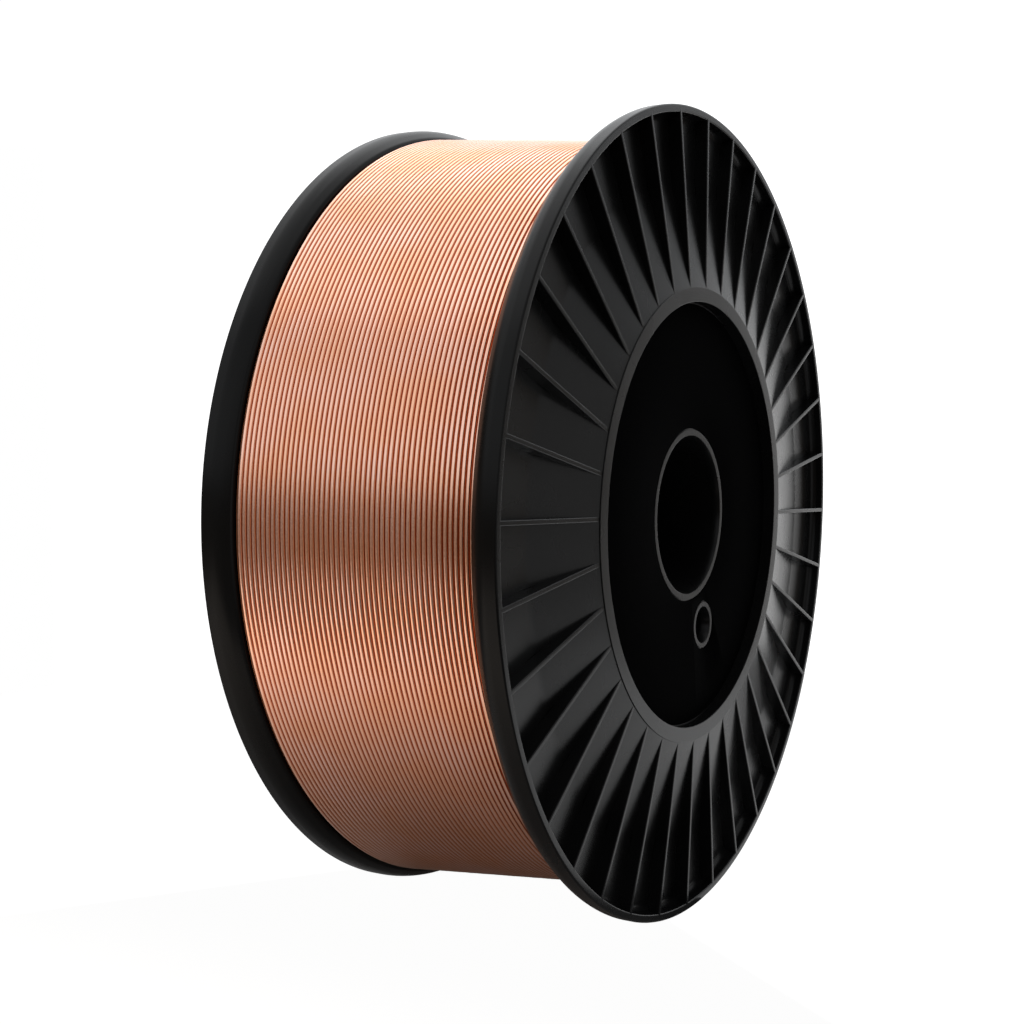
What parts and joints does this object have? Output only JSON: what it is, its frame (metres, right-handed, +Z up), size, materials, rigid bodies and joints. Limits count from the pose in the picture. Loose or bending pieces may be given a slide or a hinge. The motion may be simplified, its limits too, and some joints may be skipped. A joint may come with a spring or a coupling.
{
  "type": "welding wire spool",
  "caption": "Black plastic welding wire spool with ribbed, dished flanges, a bare hub label and a full winding of copper-coated wire",
  "frame": {"origin": "centre of the spool on the spindle bore's axis, halfway between the hub faces", "axes": "+Y along the spool's axis away from the label, +Z up, +X to the right seen from the label side; the axis lies level, as in the picture"},
  "size_m": [0.27, 0.103, 0.27],
  "materials": {
    "spool_plastic": "satin black injection-moulded polystyrene",
    "copper_wire": "bright copper-coated steel wire",
    "label_card": "bare black label, printed on nothing"
  },
  "bodies": {
    "root": {"front_half": "spool_plastic", "back_half": "spool_plastic", "wire_coil": "copper_wire", "hub_label": "label_card"}
  },
  "joints": []
}
